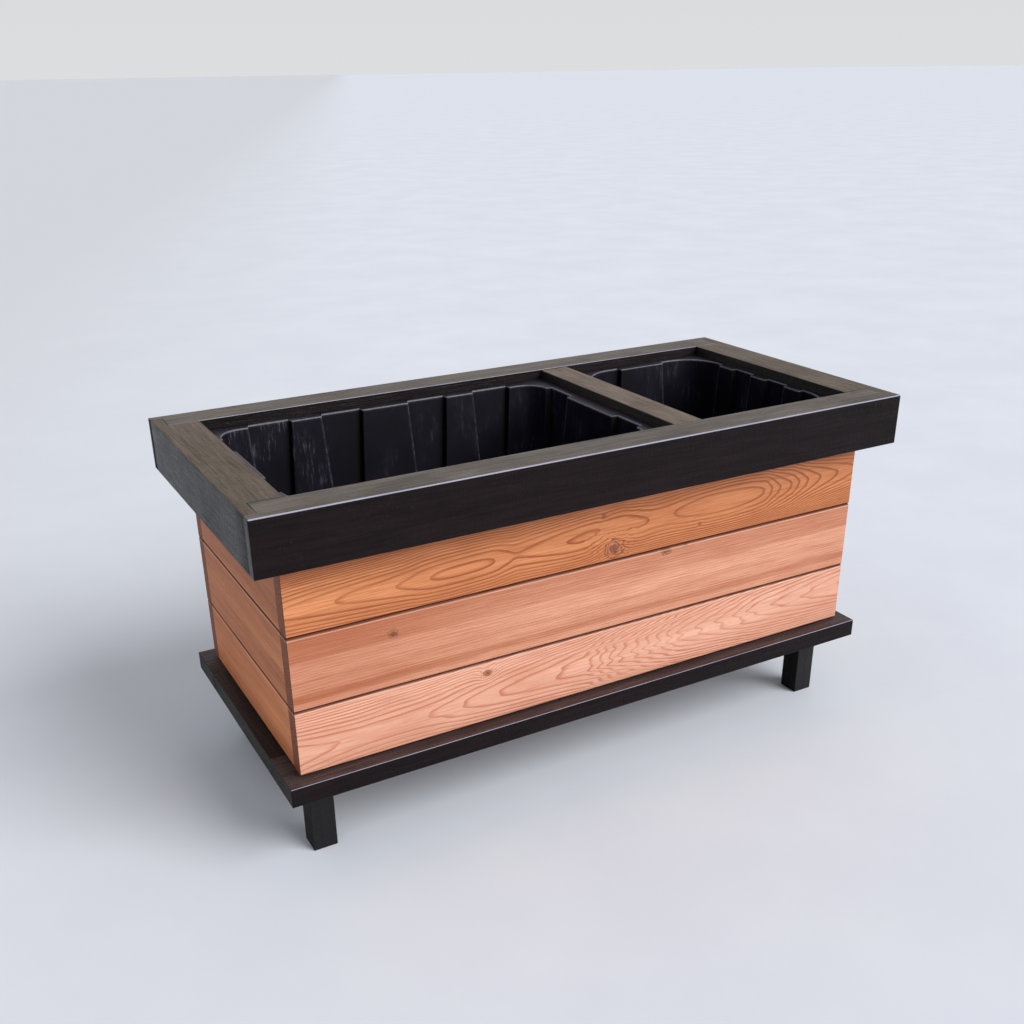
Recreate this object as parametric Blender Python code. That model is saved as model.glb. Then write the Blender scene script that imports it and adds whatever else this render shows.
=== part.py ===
"""Raised planter on legs: a box of cedar boards on a dark-stained stand, capped by a wide dark-stained
rim, with two drop-in plastic liners. Metres, +Z up, X along the length, origin on the ground at the middle."""

import math

import bmesh
import bpy

GAP = 0.0003  # clearance between pieces that touch

# Rim: four fascia boards on edge round four flat rails, with a divider across
RIM_LENGTH = 1.200
RIM_WIDTH = 0.564
RIM_TOP = 0.618
FASCIA_HEIGHT = 0.089
PLANK = 0.019  # thickness of the fascia boards, the rails and the floor slats
OPENING_LENGTH = 1.056
OPENING_WIDTH = 0.438
DIVIDER_X = 0.1775
DIVIDER_WIDTH = 0.058
DIVIDER_DROP = 0.0015  # the divider's top lies this much below the rails'
CLEAT_HEIGHT = 0.038

# Body: three courses of tongue-and-groove boards a side, front and back covering the ends of the sides
BODY_LENGTH = 1.104
BODY_WIDTH = 0.472
BOARD = 0.028
BODY_BOTTOM = 0.1685
BODY_TOP = 0.5975
COURSE_JOINTS = (0.281, 0.406)
COURSES = ("lower", "middle", "upper")
BOARD_CHAMFER = 0.0025
TONGUE = 0.006  # its thickness
TONGUE_HEIGHT = 0.007
POST = 0.022
BEARER_WIDTH = 0.089
BEARER_HEIGHT = 0.038
HANGER_HEIGHT = 0.038

# Stand: a frame of four flat rails on four square legs, each held by one screw
STAND_LENGTH = 1.154
STAND_WIDTH = 0.522
STAND_RAIL_WIDTH = 0.100
STAND_RAIL = 0.033
LEG_HEIGHT = 0.133
LEG = 0.041
FRONT_LEG_X = 0.5137
BACK_LEG_X = 0.500
LEG_Y = 0.187
SLATS = 5
SLAT_WIDTH = 0.095
SLAT_REACH = 0.453  # from the middle of the planter to the middle of the last slat
SCREW_RADIUS = 0.004
SCREW_LENGTH = 0.062
SCREW_HEAD_RADIUS = 0.0085
SCREW_HEAD = 0.005
COUNTERBORE = 0.007
SCREW_SIDES = 16

# Liners: thin-walled tubs. The large one's walls have shallow outward recesses that narrow downwards, and the
# small one's have inward ribs that widen downwards
LIP = 0.0025
LINER_WALL = 0.0025
LIP_CLEARANCE = 0.0025
LIP_RADIUS = 0.008
TUB_RADIUS = 0.040  # at the bottom, and for the large liner at the top too
SMALL_TOP_RADIUS = 0.072
LINER_BOTTOM = 0.215
RECESS_DEPTH = 0.011
RECESS_SLOPE = 0.003  # width of a recess's side
DRAFT = 0.05  # inward lean of the walls, per metre of depth
RECESS_TAPER = 0.65  # share of its width that a recess loses from top to bottom
RIB_SPREAD = 0.0165  # growth of a rib's half width from top to bottom
TUB_CLEARANCE = 0.0015  # round the tub, inside the body
CORNER_STEPS = 6
# Recesses or ribs at the top, on the X walls and then on the Y walls: (middles, half width)
LARGE_RECESSES = (((-0.1125, 0.1125), 0.0375), ((-0.218, -0.084, 0.084, 0.218), 0.038))
SMALL_RIBS = (((-0.097, 0.0, 0.097), 0.0215), ((0.0,), 0.0525))

EDGE = 0.001  # chamfer on sawn edges


def material(name, colour, roughness, metallic=0.0):
    made = bpy.data.materials.new(name)
    made.use_nodes = True
    shader = made.node_tree.nodes["Principled BSDF"]
    shader.inputs["Base Color"].default_value = (*colour, 1.0)
    shader.inputs["Roughness"].default_value = roughness
    shader.inputs["Metallic"].default_value = metallic
    made.diffuse_color = (*colour, 1.0)
    return made


def place(name, mesh_builder, made_of, location=(0, 0, 0), turn=0.0):
    """An object whose mesh mesh_builder fills in, turned about Z by turn degrees."""
    mesh = bpy.data.meshes.new(name)
    bm = bmesh.new()
    mesh_builder(bm)
    bmesh.ops.recalc_face_normals(bm, faces=bm.faces)
    bm.to_mesh(mesh)
    bm.free()
    mesh.materials.append(made_of)
    obj = bpy.data.objects.new(name, mesh)
    obj.location = location
    obj.rotation_euler.z = math.radians(turn)
    bpy.context.scene.collection.objects.link(obj)
    return obj


def block(name, low, high, made_of):
    """A sawn block between two corners, its edges lightly chamfered, its origin at its middle."""
    size = [b - a for a, b in zip(low, high)]
    middle = [(a + b) / 2 for a, b in zip(low, high)]

    def fill(bm):
        bmesh.ops.create_cube(bm, size=1)
        bmesh.ops.scale(bm, vec=size, verts=bm.verts)
        bmesh.ops.bevel(bm, geom=bm.edges[:], offset=EDGE, segments=1, affect="EDGES")

    return place(name, fill, made_of, middle)


def turned(name, profile, made_of, location):
    """A solid turned about Z from a profile of (radius, z) that starts and ends on the axis."""

    def fill(bm):
        points = [bm.verts.new((radius, 0, z)) for radius, z in profile]
        edges = [bm.edges.new(pair) for pair in zip(points, points[1:])]
        bmesh.ops.spin(
            bm, geom=points + edges, axis=(0, 0, 1), cent=(0, 0, 0), steps=SCREW_SIDES, angle=math.tau
        )
        bmesh.ops.remove_doubles(bm, verts=bm.verts, dist=0.00001)

    return place(name, fill, made_of, location)


def cut(obj, cutter):
    cutter.hide_render = True
    cutter.display_type = "WIRE"
    boolean = obj.modifiers.new("hole", "BOOLEAN")
    boolean.operation = "DIFFERENCE"
    boolean.object = cutter


def add_fascias(stain):
    bottom = RIM_TOP - FASCIA_HEIGHT
    x, y = RIM_LENGTH / 2, RIM_WIDTH / 2
    end = y - PLANK - GAP
    block("rim_fascia_front", (-x, -y, bottom), (x, -y + PLANK, RIM_TOP), stain)
    block("rim_fascia_back", (-x, y - PLANK, bottom), (x, y, RIM_TOP), stain)
    block("rim_fascia_left", (-x, -end, bottom), (-x + PLANK, end, RIM_TOP), stain)
    block("rim_fascia_right", (x - PLANK, -end, bottom), (x, end, RIM_TOP), stain)


def add_rails(stain):
    bottom = RIM_TOP - PLANK
    x, y = RIM_LENGTH / 2 - PLANK - GAP, RIM_WIDTH / 2 - PLANK - GAP
    inner_x, inner_y = OPENING_LENGTH / 2, OPENING_WIDTH / 2
    end = inner_y - GAP
    block("rim_rail_front", (-x, -y, bottom), (x, -inner_y, RIM_TOP), stain)
    block("rim_rail_back", (-x, inner_y, bottom), (x, y, RIM_TOP), stain)
    block("rim_rail_left", (-x, -end, bottom), (-inner_x, end, RIM_TOP), stain)
    block("rim_rail_right", (inner_x, -end, bottom), (x, end, RIM_TOP), stain)
    left, right = DIVIDER_X - DIVIDER_WIDTH / 2, DIVIDER_X + DIVIDER_WIDTH / 2
    top = RIM_TOP - DIVIDER_DROP
    block("rim_divider", (left, -end, BODY_TOP + GAP), (right, end, top), stain)


def add_cleats(softwood):
    """Strips on the outside of the body that carry the rim and hold the fascia boards off it."""
    top = RIM_TOP - PLANK - GAP
    bottom = top - CLEAT_HEIGHT
    body_x, body_y = BODY_LENGTH / 2 + GAP, BODY_WIDTH / 2 + GAP
    rim_x, rim_y = RIM_LENGTH / 2 - PLANK - GAP, RIM_WIDTH / 2 - PLANK - GAP
    end = body_y - GAP
    block("rim_cleat_front", (-rim_x, -rim_y, bottom), (rim_x, -body_y, top), softwood)
    block("rim_cleat_back", (-rim_x, body_y, bottom), (rim_x, rim_y, top), softwood)
    block("rim_cleat_left", (-rim_x, -end, bottom), (-body_x, end, top), softwood)
    block("rim_cleat_right", (body_x, -end, bottom), (rim_x, end, top), softwood)


def board_outline(height, has_tongue, has_groove):
    """A board's section as (depth from the outer face, height) points, with V-joint chamfers outside."""
    middle, half, slot = BOARD / 2, TONGUE / 2, TONGUE / 2 + GAP
    points = [(0, BOARD_CHAMFER), (BOARD_CHAMFER, 0)]
    if has_groove:
        deep = TONGUE_HEIGHT + GAP
        points += [(middle - slot, 0), (middle - slot, deep), (middle + slot, deep), (middle + slot, 0)]
    points += [(BOARD, 0), (BOARD, height)]
    if has_tongue:
        tip = height + TONGUE_HEIGHT
        points += [(middle + half, height), (middle + half, tip), (middle - half, tip), (middle - half, height)]
    return points + [(BOARD_CHAMFER, height), (0, height - BOARD_CHAMFER)]


def board(name, outline, length, made_of, location, turn):
    """A board along its own X, its outer face at y = 0."""

    def fill(bm):
        ends = [[bm.verts.new((x, y, z)) for y, z in outline] for x in (-length / 2, length / 2)]
        bm.faces.new(ends[0])
        bm.faces.new(ends[1][::-1])
        for i in range(len(outline)):
            bm.faces.new((ends[0][i - 1], ends[0][i], ends[1][i], ends[1][i - 1]))

    return place(name, fill, made_of, location, turn)


def add_boards(cedar):
    levels = (BODY_BOTTOM, *COURSE_JOINTS, BODY_TOP)
    short = BODY_WIDTH - 2 * (BOARD + GAP)
    x, y = BODY_LENGTH / 2, BODY_WIDTH / 2
    sides = {
        "front": (BODY_LENGTH, (0, -y), 0),
        "back": (BODY_LENGTH, (0, y), 180),
        "left": (short, (-x, 0), -90),
        "right": (short, (x, 0), 90),
    }
    for i, course in enumerate(COURSES):
        last = i == len(COURSES) - 1
        height = levels[i + 1] - levels[i] - (0 if last else GAP)
        outline = board_outline(height, not last, i > 0)
        for side, (length, (bx, by), turn) in sides.items():
            board(f"{side}_board_{course}", outline, length, cedar, (bx, by, levels[i]), turn)


def add_posts(softwood):
    """Posts in the inside corners, standing on the stand, which the boards are screwed to."""
    x, y = BODY_LENGTH / 2 - BOARD - GAP, BODY_WIDTH / 2 - BOARD - GAP
    low, high = LEG_HEIGHT + STAND_RAIL + GAP, BODY_TOP - GAP
    for end, ends in (("left", (-x, -x + POST)), ("right", (x - POST, x))):
        for side, sides in (("front", (-y, -y + POST)), ("back", (y - POST, y))):
            name = f"corner_post_{side}_{end}"
            block(name, (ends[0], sides[0], low), (ends[1], sides[1], high), softwood)


def add_bearer(softwood):
    """A flat beam under the divider, for the liners' lips, on a hanger block at each end."""
    y = BODY_WIDTH / 2 - BOARD - GAP
    left, right = DIVIDER_X - BEARER_WIDTH / 2, DIVIDER_X + BEARER_WIDTH / 2
    bottom = BODY_TOP - BEARER_HEIGHT
    block("divider_bearer", (left, -y, bottom), (right, y, BODY_TOP), softwood)
    high, low = bottom - GAP, bottom - GAP - HANGER_HEIGHT
    block("bearer_hanger_front", (left, -y, low), (right, -y + PLANK, high), softwood)
    block("bearer_hanger_back", (left, y - PLANK, low), (right, y, high), softwood)


def add_stand_rails(stain):
    bottom, top = LEG_HEIGHT, LEG_HEIGHT + STAND_RAIL
    x, y = STAND_LENGTH / 2, STAND_WIDTH / 2
    inner_y = y - STAND_RAIL_WIDTH
    inner_x = x - STAND_RAIL_WIDTH
    end = inner_y - GAP
    rails = [
        block("stand_rail_front", (-x, -y, bottom), (x, -inner_y, top), stain),
        block("stand_rail_back", (-x, inner_y, bottom), (x, y, top), stain),
    ]
    block("stand_rail_left", (-x, -end, bottom), (-inner_x, end, top), stain)
    block("stand_rail_right", (inner_x, -end, bottom), (x, end, top), stain)
    return rails


def add_floor(softwood):
    """Slats across the stand inside the body, under the liners, with gaps that let water out."""
    y = BODY_WIDTH / 2 - BOARD - GAP
    low = LEG_HEIGHT + STAND_RAIL + GAP
    for i in range(SLATS):
        x = SLAT_REACH * (2 * i / (SLATS - 1) - 1)
        near, far = (x - SLAT_WIDTH / 2, -y, low), (x + SLAT_WIDTH / 2, y, low + PLANK)
        block(f"floor_slat_{i + 1}", near, far, softwood)


def screw_outline(play):
    """A leg screw's (radius, z) profile from its tip to its head, its z = 0 under the head; play widens it."""
    tip = -SCREW_LENGTH - play
    return [
        (0, tip),
        (SCREW_RADIUS + play, tip + SCREW_RADIUS),
        (SCREW_RADIUS + play, -play),
        (SCREW_HEAD_RADIUS + play, -play),
    ]


def add_legs(stain, steel, stand_rails):
    """Each leg with its screw, which goes down through the stand's rail from a counterbore."""
    seat = LEG_HEIGHT + STAND_RAIL - COUNTERBORE
    rows = (("front", -LEG_Y, FRONT_LEG_X, stand_rails[0]), ("back", LEG_Y, BACK_LEG_X, stand_rails[1]))
    for side, y, leg_x, rail in rows:
        for end, x in (("left", -leg_x), ("right", leg_x)):
            low = (x - LEG / 2, y - LEG / 2, 0)
            leg = block(f"leg_{side}_{end}", low, (x + LEG / 2, y + LEG / 2, LEG_HEIGHT - GAP), stain)
            place_at = (x, y, seat)
            head = [(SCREW_HEAD_RADIUS, SCREW_HEAD), (0, SCREW_HEAD)]
            turned(f"leg_screw_{side}_{end}", screw_outline(0) + head, steel, place_at)
            above = COUNTERBORE + STAND_RAIL
            mouth = [(SCREW_HEAD_RADIUS + GAP, above), (0, above)]
            hole = turned(f"hole_{side}_{end}", screw_outline(GAP) + mouth, steel, place_at)
            cut(leg, hole)
            cut(rail, hole)


def corner_arc(x, y, radius, quarter):
    """Points round one corner of a rounded rectangle, whose arc's middle is (x, y)."""
    angles = [(quarter + step / CORNER_STEPS) * math.pi / 2 for step in range(CORNER_STEPS + 1)]
    return [(x + radius * math.cos(a), y + radius * math.sin(a)) for a in angles]


def wall_points(centres, half_width, depth):
    """(along, outward) points of a wall with a recess at each centre, or a rib where depth is negative."""
    slope = RECESS_SLOPE / 2
    points = []
    for centre in centres:
        near, far = centre - half_width, centre + half_width
        points += [(near - slope, 0), (near + slope, depth), (far - slope, depth), (far + slope, 0)]
    return points


def tub_outline(half_x, half_y, radius, walls, depth):
    """A tub's outline, anticlockwise from its +X wall. walls gives (middles, half width) of the recesses
    or ribs on the X walls and then on the Y walls."""
    on_x, on_y = (wall_points(centres, half_width, depth) for centres, half_width in walls)
    cx, cy = half_x - radius, half_y - radius
    return [
        *[(half_x + out, along) for along, out in on_x],
        *corner_arc(cx, cy, radius, 0),
        *[(-along, half_y + out) for along, out in on_y],
        *corner_arc(-cx, cy, radius, 1),
        *[(-half_x - out, -along) for along, out in on_x],
        *corner_arc(-cx, -cy, radius, 2),
        *[(along, -half_y - out) for along, out in on_y],
        *corner_arc(cx, -cy, radius, 3),
    ]


def walls_at(walls, ribbed, fall, wall):
    """The recesses or ribs a share fall of the way down, on the face that is wall outside the inner one."""
    if ribbed:
        return [(centres, half + RIB_SPREAD * fall - wall) for centres, half in walls]
    return [(centres, half * (1 - RECESS_TAPER * fall) + wall) for centres, half in walls]


def add_liner(name, left, right, tub_left, tub_right, walls, ribbed, plastic):
    """One liner. Its lip reaches from left to right, and its tub from tub_left to tub_right at the top."""
    top = BODY_TOP + GAP + LIP
    centre = (tub_left + tub_right) / 2
    depth = -RECESS_DEPTH if ribbed else RECESS_DEPTH
    inset = max(depth, 0.0)
    rounder = SMALL_TOP_RADIUS - TUB_RADIUS if ribbed else 0.0
    half_x = (tub_right - tub_left) / 2 - LINER_WALL - inset
    half_y = BODY_WIDTH / 2 - BOARD - TUB_CLEARANCE - LINER_WALL - inset
    lip_y = OPENING_WIDTH / 2 - LIP_CLEARANCE
    lip_middle = (left + right) / 2 - centre

    def ring(z, wall):
        lean = DRAFT * (top - z)
        fall = (top - z) / (top - LINER_BOTTOM)
        radius = TUB_RADIUS + rounder * (1 - fall) + wall
        here = walls_at(walls, ribbed, fall, wall)
        outline = tub_outline(half_x + wall - lean, half_y + wall - lean, radius, here, depth)
        return [(x, y, z) for x, y in outline]

    def lip_ring(z):
        outline = tub_outline((right - left) / 2, lip_y, LIP_RADIUS, walls, 0.0)
        return [(x + lip_middle, y, z) for x, y in outline]

    rings = [
        ring(LINER_BOTTOM + LINER_WALL, 0.0),
        ring(top, 0.0),
        lip_ring(top),
        lip_ring(top - LIP),
        ring(top - LIP, LINER_WALL),
        ring(LINER_BOTTOM, LINER_WALL),
    ]

    def fill(bm):
        loops = [[bm.verts.new((x, y, z - top)) for x, y, z in points] for points in rings]
        bm.faces.new(loops[0])
        bm.faces.new(loops[-1][::-1])
        for one, other in zip(loops, loops[1:]):
            for i in range(len(one)):
                bm.faces.new((one[i - 1], one[i], other[i], other[i - 1]))

    return place(name, fill, plastic, (centre, 0, top))


def add_liners(plastic):
    end = OPENING_LENGTH / 2 - LIP_CLEARANCE
    divider = DIVIDER_WIDTH / 2 + LIP_CLEARANCE
    tub_end = BODY_LENGTH / 2 - BOARD - TUB_CLEARANCE
    bearer = BEARER_WIDTH / 2 + TUB_CLEARANCE
    left, right = DIVIDER_X - divider, DIVIDER_X + divider
    tub_left, tub_right = DIVIDER_X - bearer, DIVIDER_X + bearer
    add_liner("large_liner", -end, left, -tub_end, tub_left, LARGE_RECESSES, False, plastic)
    add_liner("small_liner", right, end, tub_right, tub_end, SMALL_RIBS, True, plastic)


def main():
    for obj in list(bpy.data.objects):
        bpy.data.objects.remove(obj)
    cedar = material("cedar", (0.55, 0.24, 0.11), 0.6)
    stain = material("black_stain", (0.018, 0.016, 0.015), 0.45)
    softwood = material("inner_softwood", (0.45, 0.32, 0.18), 0.7)
    plastic = material("liner_plastic", (0.010, 0.010, 0.016), 0.5)
    steel = material("screw_steel", (0.55, 0.55, 0.56), 0.35, metallic=1.0)
    add_fascias(stain)
    add_rails(stain)
    add_cleats(stain)
    add_boards(cedar)
    add_posts(softwood)
    add_bearer(softwood)
    stand_rails = add_stand_rails(stain)
    add_floor(softwood)
    add_legs(stain, steel, stand_rails)
    add_liners(plastic)


main()
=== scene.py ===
"""Looks of the raised planter: cedar boards, stained rim and stand, and two lift-out liners."""

import math

import bmesh
import bpy
from mathutils import Matrix, Vector


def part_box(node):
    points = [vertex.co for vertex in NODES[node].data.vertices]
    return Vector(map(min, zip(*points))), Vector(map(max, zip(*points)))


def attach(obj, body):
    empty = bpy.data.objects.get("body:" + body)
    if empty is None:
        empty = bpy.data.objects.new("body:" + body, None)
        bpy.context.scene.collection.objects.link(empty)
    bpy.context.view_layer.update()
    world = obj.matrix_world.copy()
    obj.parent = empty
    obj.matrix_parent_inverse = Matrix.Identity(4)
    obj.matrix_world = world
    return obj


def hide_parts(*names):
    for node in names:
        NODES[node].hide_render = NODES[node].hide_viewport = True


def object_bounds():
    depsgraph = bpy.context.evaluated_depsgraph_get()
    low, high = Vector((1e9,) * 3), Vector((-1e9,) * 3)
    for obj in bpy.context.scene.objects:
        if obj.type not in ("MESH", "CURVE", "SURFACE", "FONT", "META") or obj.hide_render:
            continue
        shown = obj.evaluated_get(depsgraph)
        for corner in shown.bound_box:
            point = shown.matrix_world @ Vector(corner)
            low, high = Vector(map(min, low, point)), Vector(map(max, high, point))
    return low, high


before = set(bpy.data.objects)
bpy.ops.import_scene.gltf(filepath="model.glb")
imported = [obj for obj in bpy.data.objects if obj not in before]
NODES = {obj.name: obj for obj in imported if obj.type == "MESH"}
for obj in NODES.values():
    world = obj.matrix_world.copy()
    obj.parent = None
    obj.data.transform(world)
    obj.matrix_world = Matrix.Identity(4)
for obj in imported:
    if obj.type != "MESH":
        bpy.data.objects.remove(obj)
CAD_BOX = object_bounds()

# Camera
CAMERA_AT = (-0.9723, -1.6790, 1.1590)
CAMERA_PITCH, CAMERA_YAW, CAMERA_ROLL = 25.294, 28.917, 0.735  # degrees
CAMERA_LENS = 39.78
CAMERA_SHIFT_Y = 0.0859

# Stage
SUN_AZIMUTH, SUN_ELEVATION, SUN_SPREAD = 34.0, 37.0, 40.0  # degrees
SUN_STRENGTH, SUN_COLOUR = 2.75, (1.0, 0.985, 0.96)
SKY_HORIZON, SKY_TOP = (0.72, 0.725, 0.738, 1.0), (0.50, 0.505, 0.515, 1.0)
SKY_TOP_AT = 0.8  # height in the sky, from 0 to 1, where it reaches its top colour
FLOOR_REACH = 200.0
FLOOR_SHADE_SPAN = (0.0, -3.0)  # painted shade on the floor to the left: where it starts, and where it is whole

SEAM = 0.0003
SPAN = 1.104  # length of a front board
JOINTS = (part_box("front_board_middle")[0].z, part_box("front_board_upper")[0].z)  # between courses

# Edges that catch the light, as (y, lowest z), and seams in the rim's top, as (x range, y range)
SHINING_EDGES = ((-0.282, 0.61), (0.219, 0.61), (-0.261, 0.16))
SHINE_BAND = (0.0040, 0.0032)  # how near such an edge the shine starts and is whole
TOP_SEAMS = tuple(
    seam
    for side in (-1, 1)
    for seam in (
        (sorted((side * 0.5280, side * 0.5816)), (-0.2197, -0.2180)),
        (sorted((side * 0.5801, side * 0.5816)), (-0.2450, -0.2185)),
        (sorted((side * 0.5802, side * 0.5815)), (0.2190, 0.2630)),
    )
)

# Bevel widths
RIM_OUTER, RIM_INNER, RIM_CORNER, RIM_SEAM, RIM_OTHER = 0.0028, 0.0016, 0.0018, 0.0004, 0.0006
BEVEL_UNIT = 0.003  # the bevel width that a weight of 1 gives
STAND_EDGE = 0.0012
SQUARE_EDGE, BOARD_EDGE = 0.0008, 0.0007
SAME = 1e-4  # two places this near are one
FLAT_ANGLE, SHARP_ANGLE = math.radians(1), math.radians(20)

# Liners, as part.py has them
LIP, WALL, TUB_RADIUS, LIP_RADIUS, LINER_BOTTOM = 0.0025, 0.0025, 0.040, 0.008, 0.215
RECESS_DEPTH, RECESS_SLOPE, DRAFT, RECESS_TAPER = 0.011, 0.003, 0.05, 0.65
SMALL_TOP_RADIUS, RIB_SPREAD = 0.072, 0.0165
LARGE_RECESSES = (((-0.1125, 0.1125), 0.0375), ((-0.218, -0.084, 0.084, 0.218), 0.038))
SMALL_RIBS = (((-0.097, 0.0, 0.097), 0.0215), ((0.0,), 0.0525))
# Each liner's tub at the top: its ends in X, half width in Y, walls, and whether those have ribs
TUBS = {
    "large_liner": (-0.5225, 0.1315, 0.2065, LARGE_RECESSES, False),
    "small_liner": (0.2235, 0.5225, 0.2065, SMALL_RIBS, True),
}
ARC_STEPS = 12  # segments of a tub's rounded corner
RECESS_ENDS = 0.020  # how far in from the walls the recesses have run out
INNER_BOTTOM = (  # (height above the floor, inset) of the rings round the bottom's inside
    (0.0015, 0.030), (0.0, 0.024), (0.0, 0.012), (0.0025, 0.005), (0.008, 0.001),
)
ROLLED_EDGE = (  # (depth below the top, inset, edge mark) of the rings where wall turns into lip; marks above 1 give the lip's edge a painted highlight
    (0.0010, -0.0003, 1.9), (0.0, -0.0012, 1.7), (0.0, -0.0030, 0.25),
)

# Display colours, 0 to 255
ORANGE_CEDAR = ((224, 148, 98), (150, 76, 34))  # light wood, dark lines
TAN_CEDAR = ((238, 176, 146), (166, 94, 60))
PINK_CEDAR = ((235, 182, 156), (186, 108, 80))
SIDE_CEDAR = ((207, 131, 82), (146, 76, 38))
SIDE_COURSE_SHADE = (0.95, 0.99, 1.06)  # brightness of the upper, middle and lower side courses: painted shade, darker high up under the rim
SUNNY_SIDE_GREY, SUNNY_SIDE_SHARE = 150.0, 0.18  # a greyer, shaded copy of the side tones for the sunlit right side, painted to tone down its sunlit colour
PINE = ((196, 160, 112), (150, 108, 66))
END_LIGHT, END_DARK, END_RING = (142, 78, 40), (106, 54, 24), (92, 42, 18)
# painted shade in the grooves between courses, and a painted highlight on the lit chamfer under each
GROOVE_SHADE, LIT_CHAMFER = (78, 34, 18), (255, 220, 194)
KNOT_PALE, KNOT_RING, KNOT_HEART = (196, 124, 86), (108, 56, 38), (112, 66, 46)
KNOT_CRACK, KNOT_RIM = (74, 40, 30), (110, 56, 34)
STAIN_TOP, STAIN_SIDE, STAIN_END = (86, 77, 70), (20, 12, 14), (20, 17, 16)
STAIN_SPECK, STAIN_SCUFF, STAIN_SHINE = (128, 116, 108), (92, 90, 88), (168, 168, 188)
STAIN_SEAM = (10, 7, 6)
# the last colour is painted shade down in the liners' folds
PLASTIC_DARK, PLASTIC_LIGHT, PLASTIC_FOLD_SHADE = (8, 6, 15), (18, 15, 29), (2, 2, 3)
PLASTIC_DUST, PLASTIC_SCUFF = (126, 128, 142), (110, 110, 124)
# worn edges with a painted highlight, and a painted highlight along the lip's edge
PLASTIC_WORN_HIGHLIGHT, PLASTIC_LIP_HIGHLIGHT = (112, 112, 128), (148, 148, 164)
STEEL_LIGHT, STEEL_DARK = (172, 172, 176), (132, 130, 128)
# the floor's own mottled colours, and the grey of the painted shade on its left
FLOOR_LOW, FLOOR_HIGH, FLOOR_SHADE = (212, 217, 228), (217, 222, 232), (204, 207, 214)


# ---------------------------------------------------------------- shader graphs
class Graph:
    """A material's node tree, built by calls that take and give sockets or plain numbers."""

    def __init__(self, name):
        self.material = bpy.data.materials.new(name)
        self.material.use_nodes = True
        self.tree = self.material.node_tree
        self.shader = self.tree.nodes["Principled BSDF"]

    def put(self, value, socket):
        if isinstance(value, bpy.types.NodeSocket):
            self.tree.links.new(value, socket)
        else:
            socket.default_value = value

    def node(self, kind, inputs=(), **settings):
        made = self.tree.nodes.new("ShaderNode" + kind)
        for key, value in settings.items():
            setattr(made, key, value)
        for key, value in dict(inputs).items():
            self.put(value, made.inputs[key])
        return made

    def math(self, operation, a, b=0.0, c=0.0):
        return self.node("Math", {0: a, 1: b, 2: c}, operation=operation).outputs[0]

    def add(self, *terms):
        total = terms[0]
        for term in terms[1:]:
            total = self.math("ADD", total, term)
        return total

    def times(self, a, b):
        return self.math("MULTIPLY", a, b)

    def parts(self, vector):
        return self.node("SeparateXYZ", {0: vector}).outputs

    def vector(self, x, y, z):
        return self.node("CombineXYZ", {0: x, 1: y, 2: z}).outputs[0]

    def noise(self, vector, scale, offset=0.0, detail=2.0, roughness=0.5, distortion=0.0):
        """Noise over the vector, scaled along each axis and then moved by offset."""
        inputs = {0: vector, 1: scale, 2: (offset, offset * 0.7, offset * 1.3)}
        place = self.node("VectorMath", inputs, operation="MULTIPLY_ADD").outputs[0]
        inputs = {"Vector": place, "Scale": 1.0, "Detail": detail, "Roughness": roughness}
        inputs["Distortion"] = distortion
        return self.node("TexNoise", inputs).outputs[0]

    def step(self, value, low, high, to_low=0.0, to_high=1.0, smooth=True):
        """value mapped from low..high to to_low..to_high and held there."""
        inputs = {0: value, 1: low, 2: high, 3: to_low, 4: to_high}
        kind = "SMOOTHSTEP" if smooth else "LINEAR"
        return self.node("MapRange", inputs, interpolation_type=kind).outputs[0]

    def minus(self, a, b):
        return self.math("SUBTRACT", a, b)

    def size(self, value):
        return self.math("ABSOLUTE", value)

    def larger(self, a, b):
        return self.math("MAXIMUM", a, b)

    def mix(self, share, a, b):
        """The colour between a and b, which are sockets, vectors or display colours."""
        made = self.node("Mix", data_type="RGBA")
        for value, at in ((share, 0), (a, 6), (b, 7)):
            self.put(rgb(*value) if isinstance(value, tuple) else value, made.inputs[at])
        return made.outputs[2]

    def mix_value(self, share, a, b):
        made = self.node("Mix", data_type="FLOAT")
        for value, at in ((share, 0), (a, 2), (b, 3)):
            self.put(value, made.inputs[at])
        return made.outputs[0]

    def curve(self, value, points):
        """A smooth curve through (x, y) points, all from 0 to 1."""
        made = self.node("FloatCurve", {1: value})
        line = made.mapping.curves[0]
        for point, (x, y) in zip(line.points, (points[0], points[-1])):
            point.location = (x, y)
        for x, y in points[1:-1]:
            line.points.new(x, y)
        for point in line.points:
            point.handle_type = "AUTO_CLAMPED"
        made.mapping.update()
        return made.outputs[0]

    def bump(self, height, distance):
        inputs = {"Height": height, "Distance": distance, "Strength": 1.0}
        return self.node("Bump", inputs).outputs[0]

    def place(self):
        return self.node("TexCoord").outputs["Object"]

    def normal(self):
        return self.parts(self.node("NewGeometry").outputs["Normal"])

    def finish(self, colour, roughness, normal, **constants):
        self.put(colour, self.shader.inputs["Base Color"])
        self.put(roughness, self.shader.inputs["Roughness"])
        self.put(normal, self.shader.inputs["Normal"])
        for key, value in constants.items():
            self.shader.inputs[key.replace("_", " ")].default_value = value
        return self.material


def rgb(red, green, blue):
    """A display colour, 0 to 255, as the linear one that a shader takes."""
    shown = (red / 255, green / 255, blue / 255)
    linear = [c / 12.92 if c <= 0.04045 else ((c + 0.055) / 1.055) ** 2.4 for c in shown]
    return (*linear, 1.0)


# ---------------------------------------------------------------- cedar
# Scales of noise are per metre. A board's are along it, across it and through it.
def board_axes(graph, along):
    """(u along the board, v across it, w through it) for a board along X, Y or Z."""
    x, y, z = graph.parts(graph.place())
    return {"X": (x, z, y), "Y": (y, z, x), "Z": (z, x, y)}[along]


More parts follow.
